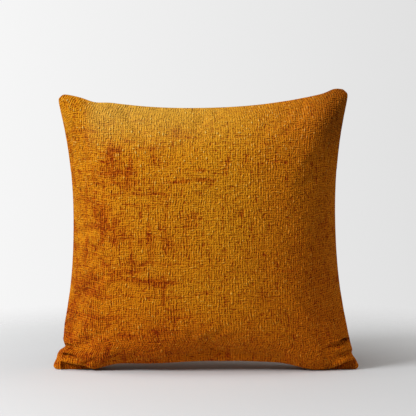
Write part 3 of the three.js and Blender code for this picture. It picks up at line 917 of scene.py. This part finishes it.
    # Painted shade in the top-right corner, which turns away from the light.
    corner = g.mul(g.span(x, 0.16, 0.21), g.span(z, 0.34, 0.41))
    colour = g.tint(corner, colour, CORNER_SHADE_FILTER)
    # Painted shade in the creases and under the ears' folds.
    colour = g.tint(folded, colour, FOLD_SHADE_FILTER)
    g.surface(colour, roughness=0.9, sheen=0.3)
    g.shader.inputs["Specular IOR Level"].default_value = 0.06
    g.shader.inputs["Sheen Roughness"].default_value = 0.35
    g.shader.inputs["Sheen Tint"].default_value = SHEEN_GOLD
    g.bump(g.add(height, g.mul(fuzz, 0.3)), 2.8 * MM)
    return g.material


def ticking_material(name):
    """Close white cotton, a little creamier in places."""
    g = Graph(name)
    place = g.place()
    x, _, z = g.parts(place)
    yarn_pitch = 0.9 * MM
    weave = g.as_share(g.mul(g.wave(x, yarn_pitch), g.wave(z, yarn_pitch)))
    cloth = g.blend(g.noise(place, 18.0, 3.0), (0.78, 0.76, 0.71), (0.86, 0.85, 0.82))
    colour = g.blend(g.mul(weave, 0.2), cloth, (0.66, 0.64, 0.6))
    g.surface(colour, roughness=0.85, sheen=0.15)
    g.bump(weave, 0.15 * MM, 0.6)
    return g.material


def fibre_material(name):
    """Crimped white polyester fibre."""
    g = Graph(name)
    place = g.place()
    strands = g.noise(place, 420.0, 5.0, 0.75)
    clumps = g.noise(place, 40.0, 3.0)
    shade = g.blend(clumps, (0.80, 0.80, 0.79), (0.90, 0.90, 0.89))
    colour = g.blend(g.mul(strands, 0.4), shade, (0.7, 0.7, 0.7))
    g.surface(colour, roughness=0.95, sheen=0.5)
    g.bump(g.add(strands, clumps), 2.0 * MM)
    return g.material


THREAD_COLOUR = (0.36, 0.15, 0.02)
WHITE_THREAD_COLOUR = (0.8, 0.78, 0.74)


def thread_material(name, colour):
    """Spun thread, with its twist."""
    g = Graph(name)
    twist = g.noise(g.place(), 1500.0, 2.0)
    dark = tuple(0.6 * channel for channel in colour)
    g.surface(g.blend(twist, dark, colour), roughness=0.75, sheen=0.3)
    g.bump(twist, 0.1 * MM)
    return g.material


def tape_material(name):
    """Herringbone zip tape."""
    g = Graph(name)
    place = g.place()
    x, y, _ = g.parts(place)
    zigzag = g.math("PINGPONG", g.mul(y, 1 / MM), 1.2)
    rows = g.as_share(g.wave(g.add(g.mul(x, 1 / MM), zigzag), 0.8))
    worn = g.noise(place, 60.0, 3.0)
    tape = g.blend(worn, (0.30, 0.12, 0.014), (0.40, 0.18, 0.025))
    g.surface(g.blend(g.mul(rows, 0.4), tape, (0.16, 0.06, 0.008)), roughness=0.8)
    g.bump(rows, 0.12 * MM)
    return g.material


def coil_material(name):
    """Semi-gloss nylon."""
    g = Graph(name)
    shade = g.noise(g.place(), 300.0, 2.0)
    g.surface(g.blend(shade, (0.34, 0.15, 0.025), (0.44, 0.21, 0.04)), roughness=0.35)
    g.bump(shade, 0.03 * MM, 0.5)
    return g.material


def brass_material(name):
    """Antiqued brass, darker where it isn't rubbed."""
    g = Graph(name)
    place = g.place()
    tarnish = g.noise(place, 380.0, 4.0, 0.6)
    colour = g.blend(g.span(tarnish, 0.35, 0.65), (0.30, 0.19, 0.08), (0.62, 0.46, 0.22))
    g.surface(colour, roughness=g.span(tarnish, 0.3, 0.7, 0.5, 0.25))
    g.shader.inputs["Metallic"].default_value = 1.0
    g.bump(g.noise(place, 2500.0, 2.0), 0.02 * MM, 0.5)
    return g.material


def satin_material(name):
    """Blank satin label ribbon, with fine ribs across it."""
    g = Graph(name)
    place = g.place()
    x, _, _ = g.parts(place)
    rib_pitch = 0.5 * MM
    ribs = g.as_share(g.wave(x, rib_pitch))
    shade = g.blend(g.noise(place, 90.0, 2.0), (0.80, 0.78, 0.72), (0.88, 0.87, 0.83))
    g.surface(g.blend(g.mul(ribs, 0.15), shade, (0.6, 0.58, 0.52)), roughness=0.4, sheen=0.2)
    g.bump(ribs, 0.05 * MM, 0.5)
    return g.material


# ------------------------------------------------------------------ camera, light and floor

CAMERA_LENS = 98.8
CAMERA_TARGET = Vector((3.5 * MM, 0, 0.2697))
CAMERA_DISTANCE = 1.9
CAMERA_TILT = math.radians(2.5)
LIGHT_TARGET = (0, 0, 0.2)
LIGHTS = (   # name, place, width and power
    ("key", (-2.1, -1.3, 1.5), 0.9, 84),
    ("top", (-0.4, -0.4, 2.3), 1.2, 14),
    ("card", (2.0, -0.1, 0.9), 1.0, 9),
)
FLOOR_HALF_SIZE = 1.2
FLOOR_FADE = (0.2, 0.95)   # distances from the middle where the floor starts to fade and is gone


def aim(thing, target):
    """Turn a camera or lamp to face the target."""
    direction = Vector(target) - thing.location
    thing.rotation_euler = direction.to_track_quat("-Z", "Y").to_euler()


def camera():
    """The photo's view, from in front and a little above."""
    data = bpy.data.cameras.new("camera")
    data.lens = CAMERA_LENS
    data.sensor_width = 36
    eye = bpy.data.objects.new("camera", data)
    bpy.context.scene.collection.objects.link(eye)
    backwards = Vector((0, -math.cos(CAMERA_TILT), math.sin(CAMERA_TILT)))
    eye.location = CAMERA_TARGET + CAMERA_DISTANCE * backwards
    aim(eye, CAMERA_TARGET)
    bpy.context.scene.camera = eye


def area_light(name, location, size, power):
    """A round white lamp that faces the pillow."""
    data = bpy.data.lights.new(name, "AREA")
    data.shape = "DISK"
    data.size = size
    data.energy = power
    lamp = bpy.data.objects.new(name, data)
    bpy.context.scene.collection.objects.link(lamp)
    lamp.location = location
    aim(lamp, LIGHT_TARGET)


def world_light():
    """A pale backdrop with painted light, brighter to the left on the key lamp's side, that lights the
    pillow far less than it shows.
    """
    world = bpy.data.worlds.new("studio")
    bpy.context.scene.world = world
    world.use_nodes = True
    nodes, links = world.node_tree.nodes, world.node_tree.links
    seen, cast = nodes["Background"], nodes.new("ShaderNodeBackground")
    split = nodes.new("ShaderNodeSeparateXYZ")
    links.new(nodes.new("ShaderNodeTexCoord").outputs["Generated"], split.inputs[0])
    ramp = nodes.new("ShaderNodeMapRange")
    left_end, right_end, left_brightness, right_brightness = -0.2, 0.25, 0.93, 0.72
    ends = (left_end, right_end, left_brightness, right_brightness)
    for socket, value in zip(list(ramp.inputs)[1:5], ends):
        socket.default_value = value
    links.new(split.outputs["X"], ramp.inputs[0])
    links.new(ramp.outputs[0], seen.inputs["Color"])
    cast.inputs["Color"].default_value = (0.18, 0.16, 0.14, 1)
    path, either = nodes.new("ShaderNodeLightPath"), nodes.new("ShaderNodeMixShader")
    links.new(path.outputs["Is Camera Ray"], either.inputs[0])
    links.new(cast.outputs[0], either.inputs[1])
    links.new(seen.outputs[0], either.inputs[2])
    links.new(either.outputs[0], nodes["World Output"].inputs["Surface"])


def floor():
    """A pale floor that fades out round the pillow."""
    g = Graph("floor")
    g.surface((0.66, 0.68, 0.70, 1), roughness=0.8)
    distance = g.nodes.new("ShaderNodeVectorMath")
    distance.operation = "LENGTH"
    g.links.new(g.place(), distance.inputs[0])
    opaque = g.span(distance.outputs["Value"], *FLOOR_FADE, 1.0, 0.0)
    g.links.new(opaque, g.shader.inputs["Alpha"])
    size = FLOOR_HALF_SIZE
    corners = [(-size, -size, 0), (size, -size, 0), (size, size, 0), (-size, size, 0)]
    piece = add_object("floor", corners, [[0, 1, 2, 3]], g.material)


# ------------------------------------------------------------------ the scene

bpy.context.scene.view_settings.view_transform = "Standard"
camera()
world_light()
for light in LIGHTS:
    area_light(*light)
floor()

# The cover
chenille = chenille_material("chenille")
grid_u, grid_v = cloth_grid(CLOTH_CELLS)
cloths = [pillow_grid(grid_u, grid_v, side) for side in (FRONT, BACK)]
beside_zip = 1 - smooth(grid_v, *HELD_STRIP)[..., None]
cloths = [mix(blown, drawn, beside_zip) for drawn, blown in zip(cloths, inflated(cloths))]
fine_u, fine_v = cloth_grid(CLOTH_CELLS * FINER)
linings = {}
for name, side, cloth, seed in (("front", FRONT, cloths[0], 11), ("back", BACK, cloths[1], 23)):
    form, dark = creased(finer(cloth, FINER), fine_u, fine_v, side, seed)
    drawn_form = pillow_grid(fine_u, fine_v, side)
    node = f"cover_{name}_panel"
    lining = cover_panel(f"chenille_{name}", node, side, form, dark, drawn_form, chenille, seed)
    index = np.arange(lining[..., 0].size).reshape(lining.shape[:2])
    linings[side] = BVHTree.FromPolygons(lining.reshape(-1, 3).tolist(), grid_quads(index, False))

# The insert, the threads and the zip
ticking = ticking_material("ticking")
for name, side, seed in (("front", FRONT, 61), ("back", BACK, 63)):
    insert_panel(f"ticking_{name}", f"insert_{name}_panel", side, linings[side], ticking, seed)
filling(linings, fibre_material("fibre"))
thread = thread_material("thread", THREAD_COLOUR)
white_thread = thread_material("white_thread", WHITE_THREAD_COLOUR)
seams(thread, white_thread)
coil = coil_material("zip_coil")
zip_coil("coil_front", "zip_coil_front", FRONT, coil)
zip_coil("coil_back", "zip_coil_back", BACK, coil)

finishes = {
    tape_material("zip_tape"): ("zip_tape_front", "zip_tape_back"),
    thread_material("tape_stitch", THREAD_COLOUR): ("zip_stitch_front", "zip_stitch_back"),
    brass_material("brass"): (
        "zip_slider", "zip_pull_tab", "zip_bottom_stop", "zip_top_stop_front", "zip_top_stop_back",
    ),
    satin_material("satin"): ("care_label", "insert_label"),
}
for material, nodes in finishes.items():
    for node in nodes:
        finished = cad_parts[node]
        finished.data.materials.clear()
        finished.data.materials.append(material)
